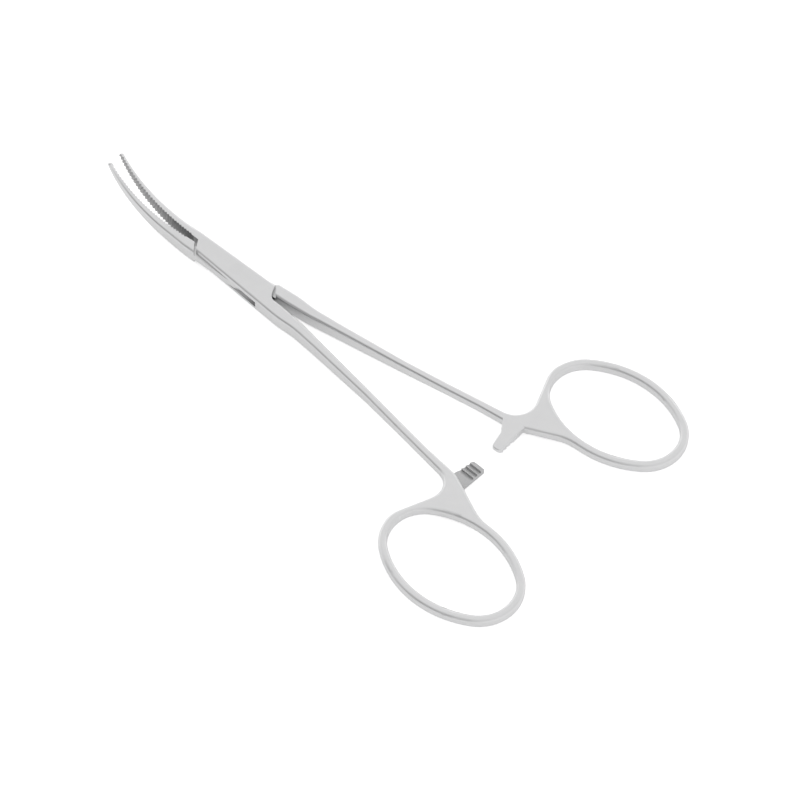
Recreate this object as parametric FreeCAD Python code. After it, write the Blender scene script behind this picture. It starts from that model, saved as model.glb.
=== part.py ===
"""Curved artery clamp: two forged halves crossed in a box lock and held by one rivet.

Millimetres and degrees. X runs from the pivot towards the finger rings, Z is up and the
jaws curve upwards. Both halves are drawn with the jaws closed, when their gripping faces
meet on the plane Y = 0, and are then opened about the rivet by the resting angle. The
origin is where the rivet's axis meets the flat underside of the box lock.
"""
import FreeCAD, Part
import math
import os

V = FreeCAD.Vector
UP = V(0, 0, 1)
PIVOT = V(0, 0, 0)
NEARLY = 0.01

# resting pose: each half is opened by this angle from the closed pose
REST_HALF_ANGLE = 2.25

# box lock, measured along X from the pivot
BOX_THICKNESS = 3.6
BOX_WIDTH = 4.92
BOX_SIDE_SLOPE = 0.033
BOX_JAW_END = 12.0
BOX_SHANK_END = 13.0
EDGE_ROUNDING = 0.7
FACE_GAP = 0.03
BAR_OVERLAP = 5.0

# cheeks: the two outer walls of the box, one over and one under the neck
CHEEK_FRONT = 10.9
CHEEK_FRONT_ANGLE = 53.0
CHEEK_REAR = 9.85
CHEEK_REAR_ANGLE = 61.5
CROOK_RADIUS = 2.3
CROOK_REACH = 3.6
CROOK_RISE = 1.3
FRONT_SHOULDER_GAP = 0.12
REAR_SHOULDER_GAP = 0.35

# neck: the thin middle of the inner half, which turns in the slot between the cheeks
NECK_THICKNESS = 1.3
NECK_FACE_GAP = 0.05
NECK_REACH = 8.45
NECK_END_GAP = 0.15
NECK_STRAIGHT = 1.5
NECK_CORNER = 1.2
NECK_OVERLAP_MARGIN = 0.5
NECK_SIDE_MARGIN = 0.2

# rivet, riveted over into a countersink at each end and ground flush
RIVET_RADIUS = 1.2
RIVET_RUNNING_GAP = 0.05
RIVET_FLARE = 0.3
RIVET_FLARE_DEPTH = 0.35

# jaws: a tapering bar bent upwards, tighter towards its tip
JAW_LENGTH = 24.5
JAW_END_ANGLE = 62.0
JAW_BEND_POWER = 1.5
JAW_TIP_HEIGHT = 1.0
JAW_TIP_WIDTH = 0.7
JAW_HEIGHT_POWER = 1.5
JAW_WIDTH_POWER = 0.75
JAW_TIP_ROUNDING = 0.28
JAW_TIP_EDGE_SHARE = 0.45
JAW_SECTIONS = 8
JAW_CURVE_STEPS = 200
JAW_OVERLAP = 0.6
JAW_STEP = 0.02

# serrations: V grooves across the gripping faces
GROOVE_PITCH = 0.75
GROOVE_WIDTH = 0.62
GROOVE_DEPTH = 0.25
GROOVE_LIP = 0.05
GROOVE_START = 1.2
GROOVE_TIP_MARGIN = 0.7

# shanks: distance from the pivot, then the centreline's offset and the width there; behind
# the box the outer side runs on straight for the necking length before it draws in
SHANK_STATIONS = [(18.5, 1.45, 2.30), (25.0, 2.02, 1.95), (40.0, 3.42, 1.60), (58.0, 5.57, 1.66)]
SHANK_NECKING = 1.3
SHANK_BEND_ROUNDING = 23.0
SHANK_THIN_FROM = 20.5
SHANK_THIN_AT = 50.0
SHANK_THIN_ROUNDING = 100.0

# finger rings: an oval wire of four arcs, its long axis along X when the jaws are closed
RING_START = 64.1
RING_CLEARANCE = 9.54
RING_LONG_RADIUS = 14.74
RING_SHORT_RADIUS = 10.01
RING_WIRE_WIDTH = 1.74
RING_THICKNESS = 2.3

# web between shank and ring: two straight sides that touch the ring, with rounded corners
WEB_OUTER_HEADING = 110.0
WEB_OUTER_ROUNDING = 4.2
WEB_LEAST_FLAT = 0.03
WEB_NOSE_JOIN = 160.0
WEB_NOSE_ROUNDING = 6.2
WEB_INNER_REACH = 3.1534
WEB_INNER_OFFSET = 5.3
WEB_INNER_HEADING = 22.8
WEB_INNER_ROUNDING = 8.0
WEB_RING_ROUNDING = 9.0

# ratchet: a toothed bar on the outer half and a toothed tab on the inner half
RACK_FAR_SIDE = 68.15
RACK_TIP_WIDTH = 2.85
RACK_ROOT_WIDTH = 3.5
RACK_TIP = 0.2
TAB_FAR_SIDE = 67.95
TAB_TIP_WIDTH = 2.1
TAB_WAIST_WIDTH = 2.75
TAB_WAIST = 2.6
TAB_WAIST_ROUNDING = 1.5
TAB_ROOT_WIDTH = 5.2
TOOTH_PITCH = 1.05
TOOTH_HEIGHT = 0.5
TOOTH_COUNT = 4
RAMP_GAP = 0.06
RATCHET_ROOT = 6.4
RACK_CORNER = 0.3
TAB_TIP_ROUNDING = 0.85
TAB_EDGE_ROUNDING = 0.25

half_thickness = BOX_THICKNESS / 2
bar_start = BOX_SHANK_END - BAR_OVERLAP
ring_middle = V(RING_START + RING_LONG_RADIUS,
                RING_CLEARANCE + RING_WIRE_WIDTH / 2 + RING_SHORT_RADIUS, 0)


def box_half_width(x):
    """Half the width of the box lock, which widens a little towards the shanks."""
    return BOX_WIDTH / 2 + BOX_SIDE_SLOPE * x


def point(side, x, y, z=0.0):
    """A point of one half; y is positive on the side where that half has its shank."""
    return V(x, side * y, z)


def rounded_path(corners):
    """Edges through corners given as (point, radius); the ends keep their points."""
    edges = []
    start = corners[0][0]
    for index in range(1, len(corners) - 1):
        corner, radius = corners[index]
        towards_last = (corners[index - 1][0] - corner).normalize()
        towards_next = (corners[index + 1][0] - corner).normalize()
        if radius > 0:
            half_turn = towards_last.getAngle(towards_next) / 2
            set_back = radius / math.tan(half_turn)
            into = corner + towards_last * set_back
            out_of = corner + towards_next * set_back
            bisector = (towards_last + towards_next).normalize()
            middle = corner + bisector * (radius / math.sin(half_turn) - radius)
            edges.append(Part.makeLine(start, into))
            edges.append(Part.Arc(into, middle, out_of).toShape())
            start = out_of
        else:
            edges.append(Part.makeLine(start, corner))
            start = corner
    edges.append(Part.makeLine(start, corners[-1][0]))
    return edges


def prism(edges, low, high):
    """A closed plan outline raised from one height to another."""
    face = Part.Face(Part.Wire(Part.__sortEdges__(edges)))
    face.translate(V(0, 0, low))
    return face.extrude(V(0, 0, high - low))


def polygon_prism(points, low, high):
    """A polygon in plan raised from one height to another."""
    return prism(Part.makePolygon(points + [points[0]]).Edges, low, high)


def direction(angle):
    """A level direction, its angle measured from +X towards +Y."""
    return V(math.cos(math.radians(angle)), math.sin(math.radians(angle)), 0)


def crossing(first, first_heading, second, second_heading):
    """Where two lines in plan cross, each given by a point and a heading."""
    across = V(-second_heading.y, second_heading.x, 0)
    return first + first_heading * ((second - first).dot(across) / first_heading.dot(across))


def oval(reach):
    """The four arcs of the ring's oval, drawn in or out by reach, from the web's side round.

    Each is a centre, a radius and the directions from the centre to its two ends."""
    long_radius = RING_LONG_RADIUS + reach
    short_radius = RING_SHORT_RADIUS + reach
    diagonal = math.hypot(long_radius, short_radius)
    slack = long_radius - short_radius
    end_radius = (diagonal - slack) / 2 * diagonal / long_radius
    side_radius = (diagonal + slack) / 2 * diagonal / short_radius
    end_shift = V(long_radius - end_radius, 0, 0)
    side_shift = V(0, side_radius - short_radius, 0)
    joint = math.degrees(math.atan2(side_shift.y, end_shift.x))
    return [
        (ring_middle - end_shift, end_radius, 180 + joint, 180 - joint),
        (ring_middle - side_shift, side_radius, 180 - joint, joint),
        (ring_middle + end_shift, end_radius, joint, -joint),
        (ring_middle + side_shift, side_radius, -joint, joint - 180),
    ]


def oval_edges(side, arcs, first, last):
    """Edges along the part of the oval between two directions from the arcs' centres."""
    edges = []
    for centre, radius, start, end in arcs:
        start = min(start, first)
        end = max(end, last)
        if start > end:
            places = [centre + direction(angle) * radius
                      for angle in (start, (start + end) / 2, end)]
            edges.append(Part.Arc(*[point(side, p.x, p.y) for p in places]).toShape())
    return edges


def shank_outline(side):
    """Plan outline of shank, web and ring, drawn as one bar that starts inside the box."""
    neck_x = BOX_SHANK_END + SHANK_NECKING
    outer = [V(x, y + w / 2, 0) for x, y, w in SHANK_STATIONS]
    inner = [V(x, y - w / 2, 0) for x, y, w in SHANK_STATIONS]
    arcs = oval(RING_WIRE_WIDTH / 2)
    hole_centre, hole_radius = oval(-RING_WIRE_WIDTH / 2)[0][:2]
    touch = arcs[0][0] + direction(WEB_NOSE_JOIN) * arcs[0][1]
    web = direction(WEB_OUTER_HEADING)
    least_width = 2 * EDGE_ROUNDING + WEB_LEAST_FLAT
    beside_hole = hole_centre + direction(WEB_OUTER_HEADING + 90) * (hole_radius + least_width)
    outer_corner = crossing(outer[-1], outer[-1] - outer[-2], beside_hole, web)
    nose = crossing(beside_hole, web, touch, direction(WEB_NOSE_JOIN - 90))
    ring_side = V(ring_middle.x, RING_CLEARANCE, 0)
    ring_corner = ring_side - V(WEB_INNER_REACH, 0, 0)
    inner_corner = crossing(ring_corner, direction(WEB_INNER_HEADING),
                            V(0, WEB_INNER_OFFSET, 0), V(1, 0, 0))
    outer_side = [(V(bar_start, box_half_width(bar_start), 0), 0),
                  (V(neck_x, box_half_width(neck_x), 0), SHANK_BEND_ROUNDING)]
    outer_side += [(place, SHANK_BEND_ROUNDING) for place in outer[:-1]]
    outer_side += [(outer_corner, WEB_OUTER_ROUNDING), (nose, WEB_NOSE_ROUNDING), (touch, 0)]
    inner_side = [(ring_side, 0), (ring_corner, WEB_RING_ROUNDING),
                  (inner_corner, WEB_INNER_ROUNDING)]
    inner_side += [(place, SHANK_BEND_ROUNDING) for place in inner[::-1]]
    inner_side += [(V(BOX_SHANK_END, FACE_GAP, 0), SHANK_BEND_ROUNDING),
                   (V(bar_start, FACE_GAP, 0), 0), outer_side[0]]
    return (rounded_path([(point(side, p.x, p.y), radius) for p, radius in outer_side])
            + oval_edges(side, arcs, WEB_NOSE_JOIN, -90)
            + rounded_path([(point(side, p.x, p.y), radius) for p, radius in inner_side]))


def thickness_band():
    """Side view of the half as a band: as thick as the box, then thinning to the ring's."""
    far = 2 * ring_middle.x
    width = 4 * ring_middle.y
    upper = [(V(-BOX_JAW_END, 0, half_thickness), 0),
             (V(SHANK_THIN_FROM, 0, half_thickness), SHANK_THIN_ROUNDING),
             (V(SHANK_THIN_AT, 0, RING_THICKNESS / 2), SHANK_THIN_ROUNDING),
             (V(far, 0, RING_THICKNESS / 2), 0)]
    lower = [(V(place.x, 0, -place.z), radius) for place, radius in upper[::-1]]
    face = Part.Face(Part.Wire(rounded_path(upper + lower + upper[:1])))
    face.translate(V(0, -width / 2, 0))
    return face.extrude(V(0, width, 0))


def round_long_edges(solid, keep):
    """Round the edges along the upper and lower faces that the test keeps."""
    chosen = []
    for edge in solid.Edges:
        middle = edge.valueAt((edge.FirstParameter + edge.LastParameter) / 2)
        ends = [vertex.Point.z for vertex in edge.Vertexes]
        upright = max(ends) - min(ends) > RING_THICKNESS / 2
        if not upright and keep(middle):
            chosen.append(edge)
    return solid.makeFillet(EDGE_ROUNDING, chosen)


def shank_and_ring(side):
    """Shank, web and ring with rounded edges."""
    outline = prism(shank_outline(side), -BOX_THICKNESS, BOX_THICKNESS)
    hole = oval_edges(side, oval(-RING_WIRE_WIDTH / 2), math.inf, -math.inf)
    bar = outline.cut(prism(hole, -BOX_THICKNESS, BOX_THICKNESS)).common(thickness_band())
    return round_long_edges(bar.Solids[0], lambda p: p.x > bar_start + NEARLY)


def cheek_front_line(shift):
    """Two points of the cheeks' slanting front edge, moved forward by shift."""
    lean = BOX_WIDTH / math.tan(math.radians(CHEEK_FRONT_ANGLE))
    return (-CHEEK_FRONT - shift, 0.0), (-CHEEK_FRONT - shift + lean, BOX_WIDTH)


def cheek_rear_corners(shift):
    """Corners of the cheeks' rear edge, moved back by shift: side, foot and end of crook."""
    lean = BOX_WIDTH / math.tan(math.radians(CHEEK_REAR_ANGLE))
    foot = CHEEK_REAR + shift
    return (foot - lean, -BOX_WIDTH), (foot, 0.0), (foot + CROOK_REACH, CROOK_RISE)


def box_block(side):
    """The box lock of the outer half before its slot is cut, with its long sides rounded."""
    far = box_half_width(BOX_SHANK_END)
    near = box_half_width(-BOX_JAW_END)
    front_foot, front_side = cheek_front_line(0)
    rear_side, rear_foot, crook_end = cheek_rear_corners(0)
    wide = polygon_prism([
        point(side, -BOX_JAW_END, near), point(side, BOX_SHANK_END, far),
        point(side, BOX_SHANK_END, -far), point(side, -BOX_JAW_END, -near),
    ], -half_thickness, half_thickness)
    block = round_long_edges(
        wide, lambda p: abs(abs(p.y) - box_half_width(p.x)) < NEARLY)
    front_waste = polygon_prism([
        point(side, -BOX_JAW_END - 1, -FACE_GAP), point(side, *front_foot) - point(side, 0, FACE_GAP),
        point(side, *front_side), point(side, -BOX_JAW_END - 1, front_side[1]),
    ], -BOX_THICKNESS, BOX_THICKNESS)
    rear_path = rounded_path([
        (point(side, *rear_side), 0), (point(side, *rear_foot), CROOK_RADIUS),
        (point(side, *crook_end), 0), (point(side, BOX_SHANK_END + 1, CROOK_RISE), 0),
        (point(side, BOX_SHANK_END + 1, rear_side[1]), 0), (point(side, *rear_side), 0)])
    rear_waste = prism(rear_path, -BOX_THICKNESS, BOX_THICKNESS)
    return block.cut(front_waste).cut(rear_waste)


def slot(side):
    """The opening between the cheeks that the neck passes through and turns in."""
    reach = NECK_REACH + NECK_END_GAP
    high = NECK_THICKNESS / 2 + NECK_FACE_GAP
    turning_room = Part.makeCylinder(reach, 2 * high, V(0, 0, -high), UP)
    front = polygon_prism([
        point(side, 0, -FACE_GAP), point(side, -2 * BOX_JAW_END, -FACE_GAP),
        point(side, -2 * BOX_JAW_END, BOX_WIDTH), point(side, 0, BOX_WIDTH),
    ], -high, high)
    rear = polygon_prism([
        point(side, 0, FACE_GAP), point(side, 2 * BOX_SHANK_END, FACE_GAP),
        point(side, 2 * BOX_SHANK_END, -BOX_WIDTH), point(side, 0, -BOX_WIDTH),
    ], -high, high)
    return turning_room.fuse([front, rear])


def jaw_angle(s):
    """Upward angle of the jaw's centreline at distance s from its root."""
    return math.radians(JAW_END_ANGLE) * max(s / JAW_LENGTH, 0) ** JAW_BEND_POWER


def jaw_place(s):
    """Centreline point at distance s from the root, as reach from the pivot and rise."""
    reach = BOX_JAW_END
    rise = 0.0
    stride = s / JAW_CURVE_STEPS
    for step in range(JAW_CURVE_STEPS):
        angle = jaw_angle((step + 0.5) * stride)
        reach += math.cos(angle) * stride
        rise += math.sin(angle) * stride
    return reach, rise


def jaw_section(side, s):
    """One section of the jaw: flat gripping face, rounded back."""
    share = max(s / JAW_LENGTH, 0)
    root_width = box_half_width(-BOX_JAW_END) - FACE_GAP - 2 * JAW_STEP
    root_height = BOX_THICKNESS - 2 * JAW_STEP
    width = root_width + (JAW_TIP_WIDTH - root_width) * share ** JAW_WIDTH_POWER
    height = root_height + (JAW_TIP_HEIGHT - root_height) * share ** JAW_HEIGHT_POWER
    rounding = EDGE_ROUNDING + (JAW_TIP_EDGE_SHARE * JAW_TIP_HEIGHT - EDGE_ROUNDING) * share
    reach, rise = jaw_place(s)
    angle = jaw_angle(s)
    across = V(math.sin(angle), 0, math.cos(angle))
    centre = V(-reach, 0, rise)
    face = -side * (FACE_GAP + JAW_STEP)
    back = face - side * width
    corners = [
        (centre + across * (height / 2) + V(0, face, 0), 0),
        (centre + across * (height / 2) + V(0, back, 0), rounding),
        (centre - across * (height / 2) + V(0, back, 0), rounding),
        (centre - across * (height / 2) + V(0, face, 0), 0),
    ]
    edges = rounded_path(corners)
    edges.append(Part.makeLine(corners[-1][0], corners[0][0]))
    return Part.Wire(edges)


def groove(side, s):
    """One V groove across the gripping face at distance s from the root."""
    reach, rise = jaw_place(s)
    angle = jaw_angle(s)
    along = V(-math.cos(angle), 0, math.sin(angle))
    across = V(math.sin(angle), 0, math.cos(angle))
    face = V(-reach, -side * (FACE_GAP + JAW_STEP), rise) - across * BOX_THICKNESS
    depth = V(0, -side * GROOVE_DEPTH, 0)
    lip = V(0, side * GROOVE_LIP, 0)
    wide = along * (GROOVE_WIDTH / 2 * (1 + GROOVE_LIP / GROOVE_DEPTH))
    profile = Part.Face(Part.makePolygon(
        [face + lip + wide, face + depth, face + lip - wide, face + lip + wide]))
    return profile.extrude(across * (2 * BOX_THICKNESS))


def jaw(side, first_groove):
    """The curved jaw with a rounded tip and its serrations; its root starts in the box."""
    stations = [-JAW_OVERLAP]
    stations += [JAW_LENGTH * step / (JAW_SECTIONS - 1) for step in range(JAW_SECTIONS)]
    bar = Part.makeLoft([jaw_section(side, s) for s in stations], True, False)
    tip_reach, tip_rise = jaw_place(JAW_LENGTH)
    tip = V(-tip_reach, 0, tip_rise)
    angle = jaw_angle(JAW_LENGTH)
    outwards = V(-math.cos(angle), 0, math.sin(angle))
    tip_edges = [edge for edge in bar.Edges
                 if all(abs((v.Point - tip).dot(outwards)) < NEARLY for v in edge.Vertexes)]
    bar = bar.makeFillet(JAW_TIP_ROUNDING, tip_edges)
    places = []
    s = first_groove
    while s < JAW_LENGTH - GROOVE_TIP_MARGIN:
        places.append(s)
        s += GROOVE_PITCH
    return bar.cut(Part.makeCompound([groove(side, s) for s in places]))


def tooth_faces(side, tip, facing):
    """A block whose ramped teeth face up or down, to be met with the ratchet's plan.

    Each tooth ramps from its tip side towards the shank and drops straight at its back."""
    crest = facing * TOOTH_HEIGHT / 2
    valley = -crest
    back = -facing * RING_THICKNESS / 2
    outline = [(tip, back), (tip, valley)]
    for tooth in range(TOOTH_COUNT):
        start = tip + tooth * TOOTH_PITCH
        outline.append((start + TOOTH_PITCH, crest))
        outline.append((start + TOOTH_PITCH, valley))
    outline[-1] = (RATCHET_ROOT, crest)
    outline.append((RATCHET_ROOT, back))
    start_x = TAB_FAR_SIDE - 2 * TAB_ROOT_WIDTH
    points = [point(side, start_x, y, z) for y, z in outline]
    face = Part.Face(Part.makePolygon(points + [points[0]]))
    return face.extrude(V(4 * TAB_ROOT_WIDTH, 0, 0))


def rack(side):
    """The toothed bar of the outer half; its teeth face up."""
    root = point(side, RACK_FAR_SIDE - RACK_ROOT_WIDTH, RATCHET_ROOT)
    plan = prism(rounded_path([
        (root, 0),
        (point(side, RACK_FAR_SIDE - RACK_TIP_WIDTH, RACK_TIP), RACK_CORNER),
        (point(side, RACK_FAR_SIDE, RACK_TIP), RACK_CORNER),
        (point(side, RACK_FAR_SIDE, RATCHET_ROOT), 0),
        (root, 0)]), -half_thickness, half_thickness)
    return plan.common(tooth_faces(side, RACK_TIP, 1))


def tab(side):
    """The toothed tab of the inner half; its teeth face down and its top is plain."""
    overlap = (TOOTH_HEIGHT - RAMP_GAP) * TOOTH_PITCH / TOOTH_HEIGHT
    tip = -RACK_TIP - overlap
    top = RING_THICKNESS / 2
    root = point(side, TAB_FAR_SIDE - TAB_ROOT_WIDTH, RATCHET_ROOT)
    plan = prism(rounded_path([
        (root, 0),
        (point(side, TAB_FAR_SIDE - TAB_WAIST_WIDTH, TAB_WAIST), TAB_WAIST_ROUNDING),
        (point(side, TAB_FAR_SIDE - TAB_TIP_WIDTH, tip), TAB_TIP_ROUNDING),
        (point(side, TAB_FAR_SIDE, tip), TAB_TIP_ROUNDING),
        (point(side, TAB_FAR_SIDE, RATCHET_ROOT), 0),
        (root, 0)]), -top, top)
    outline = [edge for edge in plan.Edges
               if all(abs(v.Point.z - top) < NEARLY for v in edge.Vertexes)
               and abs(edge.CenterOfMass.y - side * RATCHET_ROOT) > NEARLY]
    return plan.makeFillet(TAB_EDGE_ROUNDING, outline).common(tooth_faces(side, tip, -1))


def rivet():
    """The pivot pin, flared into both cheeks and flush with them."""
    depth = RIVET_FLARE_DEPTH
    flared = RIVET_RADIUS + RIVET_FLARE
    profile = Part.makePolygon([
        V(0, 0, -half_thickness), V(flared, 0, -half_thickness),
        V(RIVET_RADIUS, 0, -half_thickness + depth), V(RIVET_RADIUS, 0, half_thickness - depth),
        V(flared, 0, half_thickness), V(0, 0, half_thickness), V(0, 0, -half_thickness)])
    return Part.Face(profile).revolve(PIVOT, UP, 360)


def neck(side):
    """The thin middle of the inner half: a slanting slab that fills the slot's width."""
    corner_x = math.sqrt(NECK_REACH ** 2 - NECK_CORNER ** 2)
    jaw_end = BOX_JAW_END - NECK_OVERLAP_MARGIN
    shank_end = BOX_SHANK_END - NECK_OVERLAP_MARGIN
    plan = [point(side, *place) for place in (
        (-jaw_end, -FACE_GAP),
        (-jaw_end, -box_half_width(-BOX_JAW_END)),
        (NECK_STRAIGHT, -box_half_width(NECK_STRAIGHT)),
        (corner_x, -NECK_CORNER),
        (NECK_REACH, FACE_GAP),
        (shank_end, FACE_GAP),
        (shank_end, box_half_width(shank_end) - NECK_SIDE_MARGIN),
        (-NECK_STRAIGHT, box_half_width(-NECK_STRAIGHT)),
        (-corner_x, NECK_CORNER),
        (-NECK_REACH, -FACE_GAP),
    )]
    return polygon_prism(plan, -NECK_THICKNESS / 2, NECK_THICKNESS / 2)


def cheek_room(side):
    """Plan of the space that the cheeks take from the inner half, with its end gaps."""
    front_foot, front_side = cheek_front_line(FRONT_SHOULDER_GAP)
    rear_side, rear_foot, crook_end = cheek_rear_corners(REAR_SHOULDER_GAP)
    reach = front_side[1]
    corners = [
        ((front_foot[0], 0), 0), ((front_side[0], -reach), 0), ((crook_end[0], -reach), 0),
        ((crook_end[0], -crook_end[1]), 0), ((rear_foot[0], 0), CROOK_RADIUS),
        ((rear_side[0], reach), 0), ((front_foot[0], reach), 0), ((front_foot[0], 0), 0),
    ]
    return [(point(side, *place), radius) for place, radius in corners]


def jaw_root(side):
    """The full-thickness root of the inner half's jaw, in front of the cheeks."""
    near = box_half_width(-BOX_JAW_END)
    far = box_half_width(-NECK_REACH)
    block = polygon_prism([
        point(side, -BOX_JAW_END, -FACE_GAP), point(side, -NECK_REACH, -FACE_GAP),
        point(side, -NECK_REACH, -far), point(side, -BOX_JAW_END, -near),
    ], -half_thickness, half_thickness)
    return round_long_edges(block, lambda p: abs(abs(p.y) - box_half_width(p.x)) < NEARLY)


def make_outer_half():
    """The half with the box: it carries the rack and the lower shank in the picture."""
    side = -1
    body = box_block(side).fuse(shank_and_ring(side)).removeSplitter()
    body = body.cut(slot(side)).fuse([jaw(side, GROOVE_START), rack(side)]).removeSplitter()
    return body.cut(rivet())


def make_inner_half():
    """The half whose neck turns inside the box: it carries the tab."""
    side = 1
    thick = jaw_root(side).fuse(shank_and_ring(side))
    room = rounded_path(cheek_room(side))
    thick = thick.cut([prism(room, NECK_THICKNESS / 2, BOX_THICKNESS),
                       prism(room, -BOX_THICKNESS, -NECK_THICKNESS / 2)])
    body = thick.fuse([neck(side), jaw(side, GROOVE_START + GROOVE_PITCH / 2), tab(side)])
    bore = Part.makeCylinder(RIVET_RADIUS + RIVET_RUNNING_GAP, BOX_THICKNESS,
                             V(0, 0, -half_thickness), UP)
    return body.removeSplitter().cut(bore)


def placed(shape, turn):
    """Open a shape about the rivet and stand it on the plane Z = 0."""
    done = shape.copy()
    done.rotate(PIVOT, UP, turn)
    done.translate(UP * half_thickness)
    return done


pieces = {
    "outer_half": placed(make_outer_half(), -REST_HALF_ANGLE),
    "inner_half": placed(make_inner_half(), REST_HALF_ANGLE),
    "pivot_rivet": placed(rivet(), -REST_HALF_ANGLE),
}
os.makedirs("parts", exist_ok=True)
for name, shape in pieces.items():
    shape = shape.Solids[0] if len(shape.Solids) == 1 else shape
    shape.exportStep("parts/" + name + ".step")
    print(name, "valid:", shape.isValid(), "solids:", len(shape.Solids),
          "volume mm3: %.1f" % shape.Volume)
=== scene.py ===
# %% [markdown]
# # A curved hemostat in satin stainless steel
#
# A hemostat is three pieces of stainless steel: an outer half with a slotted box, an inner
# half whose neck turns in that slot, and the rivet that joins them. All three come in with
# their exact shapes, in metres, with X from the pivot to the finger rings and Z up. They
# could be modelled again here, but nothing on them is soft or loose, so this lesson leaves
# the shapes alone and adds what they lack: a camera, the finish of the steel, a table, and
# the light of a catalogue photograph.

# %% The frame
import math

import bpy
from mathutils import Matrix, Vector

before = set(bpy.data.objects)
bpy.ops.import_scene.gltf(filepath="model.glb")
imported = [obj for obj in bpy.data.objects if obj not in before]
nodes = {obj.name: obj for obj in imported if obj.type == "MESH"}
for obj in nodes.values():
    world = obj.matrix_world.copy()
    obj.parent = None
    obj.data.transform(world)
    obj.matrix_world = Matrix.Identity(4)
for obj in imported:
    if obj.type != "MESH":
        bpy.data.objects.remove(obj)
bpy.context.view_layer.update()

MM = 0.001
print("triangles:", {name: len(piece.data.polygons) for name, piece in nodes.items()})

# %% [markdown]
# ## Shader maths as plain expressions
#
# A finish is mostly arithmetic on noise patterns: scale it, clamp it, mix it. Math nodes
# could be wired one by one, but that hides the arithmetic, so one small class wraps a socket
# and turns Python's operators into nodes. Every other node comes from one function that
# takes the node's type, its settings, and the values or links of its sockets.

# %% A socket that can be used in expressions


class Wire:
    """A shader socket that adds its own Math nodes when it is used in an expression."""

    def __init__(self, tree, socket):
        self.tree = tree
        self.socket = socket

    def calculate(self, operation, first, second):
        """A Math node on two values or wires."""
        return node(self.tree, "ShaderNodeMath", {"operation": operation}, {0: first, 1: second})

    def __add__(self, other):
        return self.calculate("ADD", self, other)

    def __sub__(self, other):
        return self.calculate("SUBTRACT", self, other)

    def __rsub__(self, other):
        return self.calculate("SUBTRACT", other, self)

    def __mul__(self, other):
        return self.calculate("MULTIPLY", self, other)

    __radd__ = __add__
    __rmul__ = __mul__

    def ramp(self, start, end, low=0.0, high=1.0):
        """Low before start, high past end and a smooth change between; end may be the smaller."""
        values = {"Value": self, "From Min": start, "From Max": end, "To Min": low, "To Max": high}
        return node(self.tree, "ShaderNodeMapRange", {"interpolation_type": "SMOOTHSTEP"}, values)


def node(tree, kind, settings=None, values=None, output=0):
    """A node of this kind: its settings first, then its sockets' values or links."""
    made = tree.nodes.new(kind)
    for name, value in (settings or {}).items():
        setattr(made, name, value)
    for name, value in (values or {}).items():
        if isinstance(value, Wire):
            tree.links.new(value.socket, made.inputs[name])
        else:
            made.inputs[name].default_value = value
    return Wire(tree, made.outputs[output]) if len(made.outputs) else None


def new_tree(owner):
    """The node tree of a material or world, emptied."""
    owner.use_nodes = True
    owner.node_tree.nodes.clear()
    return owner.node_tree


def split(tree, vector):
    """The X, Y and Z parts of a vector."""
    return [node(tree, "ShaderNodeSeparateXYZ", None, {0: vector}, part) for part in range(3)]


# %% [markdown]
# ## Places on a turned half
#
# A worked surface differs from place to place along the instrument. Each half could carry a
# painted map of those places, but the sizes are known, so a rule on coordinates is sharper
# and can be read. The halves are drawn closed and lie a little open at rest, each turned
# about the rivet. A Mapping node turns a half's object coordinates back and also changes
# metres into millimetres, so the sizes below are the drawing's own.

# %% Coordinates along one half
REST_HALF_ANGLE = math.radians(2.25)


def half_axes(tree, turn):
    """Millimetre coordinates along one half: X along it, Y across it and Z up."""
    place = node(tree, "ShaderNodeTexCoord", output="Object")
    return node(tree, "ShaderNodeMapping", {"vector_type": "POINT"},
                {"Vector": place, "Rotation": (0, 0, turn), "Scale": (1 / MM,) * 3})


def noise(tree, vector, scale, detail, roughness):
    """Noise from 0 to 1 whose features are 1 / scale millimetres wide along each axis."""
    stretched = node(tree, "ShaderNodeVectorMath", {"operation": "MULTIPLY"},
                     {0: vector, 1: scale})
    return node(tree, "ShaderNodeTexNoise", None,
                {"Vector": stretched, "Scale": 1.0, "Detail": detail, "Roughness": roughness})


print("degrees between the halves at rest:", round(math.degrees(2 * REST_HALF_ANGLE), 2))

# %% [markdown]
# ## Faces left as cut
#
# The serrations of the jaws and the teeth of the ratchet are cut last and aren't polished,
# so they stay duller than the steel round them. Their colour is also painted darker: painted
# shade for the shade that falls between the jaws and among the teeth. Their faces could be
# selected and given a second material, but each tooth has several, and the edge would be a
# hard step. So the cut faces are found by place and by the way they face, and they fade out
# over less than half a millimetre. The serrations are the faces of a jaw that look at the
# other jaw, close to the plane where the two meet. The ratchet's two bars stick out past the
# inner edge of their webs: there, the rack is what lies lower than the web's top, and the
# tab's teeth are what faces down.

# %% Masks for the cut faces
JAW_START_X = -12.3
GRIP_DEPTH = 0.34
RATCHET_START_X = 64.2
TEETH_TOP_Z = 2.1
WEB_EDGE_Y = -5.5
WEB_SLOPE_START_X = 65.2
WEB_SLOPE_END_X = 68.6
WEB_SLOPE = 1.2


def serrations(x, y, normal, side):
    """1 on the gripping face of the jaw on this side of the closing plane, or else 0."""
    in_jaw = x.ramp(JAW_START_X + 0.2, JAW_START_X - 0.2)
    near_plane = (y * side).ramp(GRIP_DEPTH + 0.04, GRIP_DEPTH - 0.04)
    facing_other_jaw = (normal[1] * -side).ramp(0.35, 0.6)
    return in_jaw * near_plane * facing_other_jaw


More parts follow.
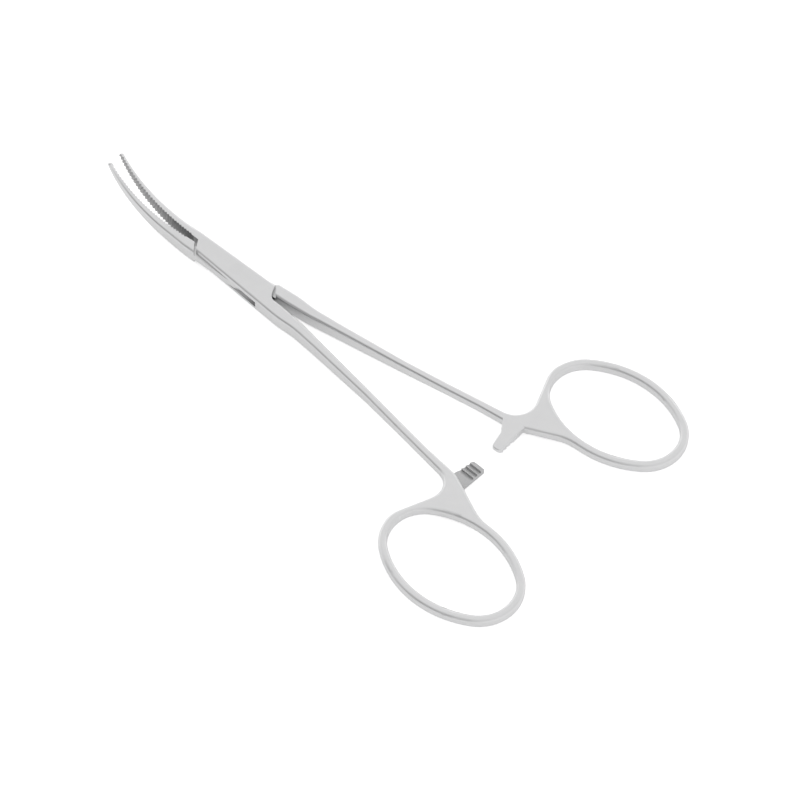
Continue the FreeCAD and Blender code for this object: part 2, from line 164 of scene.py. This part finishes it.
def ratchet_teeth(x, y, z, normal, side):
    """1 on the rack below the web's top, or under the tab on the other half, or else 0."""
    edge_slope = x.ramp(WEB_SLOPE_START_X, WEB_SLOPE_END_X, 0.0, WEB_SLOPE)
    beside_web = (y * side + edge_slope).ramp(WEB_EDGE_Y, WEB_EDGE_Y + 0.15)
    in_bar = beside_web * x.ramp(RATCHET_START_X - 0.1, RATCHET_START_X)
    if side > 0:
        return in_bar * z.ramp(TEETH_TOP_Z + 0.05, TEETH_TOP_Z - 0.05)
    return in_bar * normal[2].ramp(-0.1, -0.3)


print("cut faces: jaws up to X", JAW_START_X, "mm, ratchet from X", RATCHET_START_X, "mm")

# %% [markdown]
# ## Satin stainless steel
#
# Steel has almost no colour of its own: its look comes from what it mirrors and how sharply.
# A picture of steel could be wrapped round the pieces, but it would blur close up and show
# its seams. Here three noise patterns, each at its own scale, are worked out at every point:
# fine polishing lines along the instrument, a soft mottle left by tumbling, and a grain.
# They change the shade a little, the roughness more, and the surface by about a hundredth of
# a millimetre. The finger rings are a bit softer than the box and shanks, and the cut faces are
# duller. The cut faces are also painted darker, and narrow crevices a little darker where
# Ambient Occlusion finds them enclosed: both are painted shade.

# %% The satin finish
POLISHING_LINES = (0.35, 9.0, 9.0)
TUMBLING_MOTTLE = (0.45, 0.45, 0.45)
FINE_GRAIN = (7.0, 7.0, 7.0)
BUMP_HEIGHT = 0.02 * MM
CREVICE_WIDTH = 1.2 * MM
CREVICE_PAINTED_SHADE = 0.88
# Painted shade: the cut faces' darker tones stand in for the shade between the jaws and among the
# teeth.
GRIP_PAINTED_SHADE_TONE = 0.56
TEETH_PAINTED_SHADE_TONE = 0.63
CUT_ROUGHNESS = 0.3
SHANK_ROUGHNESS = 0.22
RING_ROUGHNESS = 0.32
SHANK_END_X = 62.0
RING_START_X = 70.0


def steel(name, turn, tone, side=0):
    """Satin steel; side is 1 or -1 for a half whose jaw lies on that side across Y."""
    material = bpy.data.materials.new(name)
    tree = new_tree(material)
    place = half_axes(tree, turn)
    x, y, z = split(tree, place)
    lines = noise(tree, place, POLISHING_LINES, 4.0, 0.6)
    mottle = noise(tree, place, TUMBLING_MOTTLE, 3.0, 0.55)
    grain = noise(tree, place, FINE_GRAIN, 2.0, 0.5)
    shade = tone * (mottle * 0.06 + 0.97)
    softness = x.ramp(SHANK_END_X, RING_START_X, SHANK_ROUGHNESS, RING_ROUGHNESS)
    roughness = lines * 0.1 + mottle * 0.1 + softness
    if side:
        normal = split(tree, node(tree, "ShaderNodeTexCoord", output="Normal"))
        gripping = serrations(x, y, normal, side)
        toothed = ratchet_teeth(x, y, z, normal, side)
        cut = gripping + toothed
        # Painted shade: the cut faces get a darker colour.
        cut_painted_shade = (gripping * GRIP_PAINTED_SHADE_TONE + toothed * TEETH_PAINTED_SHADE_TONE) * (grain * 0.2 + 0.9)
        shade = shade * (1 - cut) + cut_painted_shade
        roughness = roughness + cut * CUT_ROUGHNESS
    # Painted shade: the colour darkens where Ambient Occlusion finds a narrow crevice.
    crevice = node(tree, "ShaderNodeAmbientOcclusion", {"samples": 6, "only_local": False},
                   {"Distance": CREVICE_WIDTH}, "AO")
    shade = shade * crevice.ramp(0.05, 0.65, CREVICE_PAINTED_SHADE, 1.0)
    colour = node(tree, "ShaderNodeCombineColor", None, {0: shade, 1: shade, 2: shade * 1.005})
    height = lines * 0.5 + grain * 0.35 + mottle * 0.6
    bump = node(tree, "ShaderNodeBump", None,
                {"Height": height, "Strength": 0.35, "Distance": BUMP_HEIGHT})
    surface = node(tree, "ShaderNodeBsdfPrincipled", None,
                   {"Base Color": colour, "Metallic": 1.0, "Roughness": roughness,
                    "Normal": bump})
    node(tree, "ShaderNodeOutputMaterial", None, {"Surface": surface})
    return material


print("bump mm:", round(BUMP_HEIGHT / MM, 3), "crevice mm:", round(CREVICE_WIDTH / MM, 2))

# %% [markdown]
# ## One steel, turned three ways
#
# All three pieces are the same steel, and one shared material could cover them. But the
# polishing lines run along each half, and the cut faces lie on opposite sides of the two, so
# each half gets its own copy with its own turn and side. The rivet is ground flush with the
# outer half, so it takes that half's turn, and it is a touch darker, so that its end can
# just be told from the steel round it.

# %% Paint the three pieces
HALF_TONE = 0.79
RIVET_TONE = 0.78


def repaint(name, material):
    """Give a piece this material in every slot it has."""
    for slot in nodes[name].material_slots:
        slot.material = material
    print(name, "wears", material.name, "made of", len(material.node_tree.nodes), "nodes")


repaint("outer_half", steel("satin_steel_outer", REST_HALF_ANGLE, HALF_TONE, side=1))
repaint("inner_half", steel("satin_steel_inner", -REST_HALF_ANGLE, HALF_TONE, side=-1))
repaint("pivot_rivet", steel("satin_steel_rivet", REST_HALF_ANGLE, RIVET_TONE))

# %% [markdown]
# ## The camera
#
# The camera could be set by eye, but a few degrees change how the rings and jaws overlap. Its
# place was fitted instead: both finger rings are equal ovals on one plane, which fixes the
# angle, and they keep nearly one size in the picture, so the lens is long.

# %% Camera
VIEW_AZIMUTH = math.radians(42.224)
VIEW_ELEVATION = math.radians(52.306)
CAMERA_DISTANCE = 637.4 * MM
AIM = Vector((45.08, -1.44, 1.8)) * MM
PICTURE_PIXELS = 800
PIXELS_PER_MM = 5.2
SENSOR_MM = 36.0

across = Vector((math.cos(VIEW_AZIMUTH), math.sin(VIEW_AZIMUTH), 0))
forward_level = Vector((-math.sin(VIEW_AZIMUTH), math.cos(VIEW_AZIMUTH), 0))
forward = forward_level * math.cos(VIEW_ELEVATION) - Vector((0, 0, math.sin(VIEW_ELEVATION)))
picture_side = PICTURE_PIXELS / PIXELS_PER_MM * MM

camera = bpy.data.objects.new("camera", bpy.data.cameras.new("camera"))
bpy.context.scene.collection.objects.link(camera)
camera.location = AIM - forward * CAMERA_DISTANCE
camera.rotation_euler = Matrix((across, across.cross(forward), -forward)).transposed().to_euler()
camera.data.sensor_width = SENSOR_MM
camera.data.lens = SENSOR_MM * CAMERA_DISTANCE / picture_side
bpy.context.scene.camera = camera
bpy.context.scene.view_settings.view_transform = "Standard"
print("lens mm:", round(camera.data.lens, 1))

# %% [markdown]
# ## The table
#
# The instrument lies on a white sweep that burns out to pure white, while its own shadow
# stays faintly visible. Stronger lamps could burn the table out, but they would bleach the
# steel as well. So the floor is a matt surface that takes the shadow, with a glow added for
# some rays only: a strong one for what the camera sees directly, and a weaker one for what
# the steel mirrors, because its upright sides show the table in front of them.

# %% The table under the instrument
FLOOR_SIZE = 3.0
FLOOR_GAP = 0.02 * MM
FLOOR_TONE = 0.85
GLOW_SEEN = 0.6
GLOW_MIRRORED = 0.24
MIDDLE_X = 45.0 * MM

bpy.ops.object.select_all(action="DESELECT")
bpy.ops.mesh.primitive_plane_add(size=FLOOR_SIZE, location=(MIDDLE_X, 0, -FLOOR_GAP))
floor = bpy.context.object
floor.name = "studio_floor"
floor_paint = bpy.data.materials.new("white_table")
tree = new_tree(floor_paint)
matt = node(tree, "ShaderNodeBsdfDiffuse", None, {"Color": (FLOOR_TONE,) * 3 + (1,)})
seen = node(tree, "ShaderNodeLightPath", output="Is Camera Ray")
mirrored = node(tree, "ShaderNodeLightPath", output="Is Glossy Ray")
glow = node(tree, "ShaderNodeEmission", None,
            {"Color": (1, 1, 1, 1), "Strength": seen * GLOW_SEEN + mirrored * GLOW_MIRRORED})
surface = node(tree, "ShaderNodeAddShader", None, {0: matt, 1: glow})
node(tree, "ShaderNodeOutputMaterial", None, {"Surface": surface})
floor.data.materials.append(floor_paint)
print("floor m:", tuple(round(side, 3) for side in floor.dimensions))

# %% [markdown]
# ## The white tent
#
# Polished metal shows the room it stands in, so the room shades it more than any lamp does.
# A picture of a studio could surround the scene, but a few ramps on a ray's direction do the
# same and are tuned one by one. The tent is a light grey all round. Low down it is brighter,
# most of all on the side far from the camera, and the tent's open side is darker: it lies
# across the instrument, towards the lower left of the picture. The flat faces mirror the far
# side high up and come out even, and the rounded edges mirror the open side in the thin dark
# lines that run along the shanks and rings.

# %% The world round the instrument
TENT_TONE = 0.74
LOW_START = 0.65
LOW_FULL = 0.15
LOW_GLOW_NEAR = 0.22
LOW_GLOW_FAR = 0.6
OPEN_SIDE = (-0.2, -0.98, 0.0)
OPEN_SIDE_DEPTH = 0.55


def share_towards(tree, direction, side):
    """How far a direction points to this side, from -1 to 1."""
    return node(tree, "ShaderNodeVectorMath", {"operation": "DOT_PRODUCT"},
                {0: direction, 1: side}, "Value")


world = bpy.data.worlds.new("white_tent")
bpy.context.scene.world = world
tree = new_tree(world)
direction = node(tree, "ShaderNodeTexCoord", output="Generated")
low = split(tree, direction)[2].ramp(LOW_START, LOW_FULL)
away = share_towards(tree, direction, tuple(forward_level))
low_glow = low * away.ramp(0.3, 0.8, LOW_GLOW_NEAR, LOW_GLOW_FAR)
open_side = share_towards(tree, direction, OPEN_SIDE).ramp(0.5, 0.9, 0.0, OPEN_SIDE_DEPTH)
tent = TENT_TONE + low_glow - open_side
seen = node(tree, "ShaderNodeLightPath", output="Is Camera Ray")
brightness = tent * (1 - seen) + seen
grey = node(tree, "ShaderNodeCombineColor", None, {0: brightness, 1: brightness, 2: brightness})
glow = node(tree, "ShaderNodeBackground", None, {"Color": grey, "Strength": 1.0})
node(tree, "ShaderNodeOutputWorld", None, {"Surface": glow})
print("the tent's world is made of", len(tree.nodes), "nodes")

# %% [markdown]
# ## The overhead lamp
#
# The tent alone leaves hardly any shadow. A small strong lamp would draw a hard one and put
# bright streaks on every rounded edge, because polished steel mirrors the lamp itself. So
# one large, weak square lamp hangs over the instrument, a little to its far side.

# %% A soft lamp overhead
LAMP_PLACE = Vector((0.0, 0.1, 0.8))
LAMP_SIZE = 1.0
LAMP_WATTS = 0.4

lamp = bpy.data.objects.new("overhead_softbox", bpy.data.lights.new("overhead_softbox", "AREA"))
bpy.context.scene.collection.objects.link(lamp)
lamp.data.size = LAMP_SIZE
lamp.data.energy = LAMP_WATTS
lamp.location = LAMP_PLACE
lamp_aim = Vector((MIDDLE_X, 0, 0)) - LAMP_PLACE
lamp.rotation_euler = lamp_aim.to_track_quat("-Z", "Y").to_euler()
print("lamp to instrument m:", round(lamp_aim.length, 3))
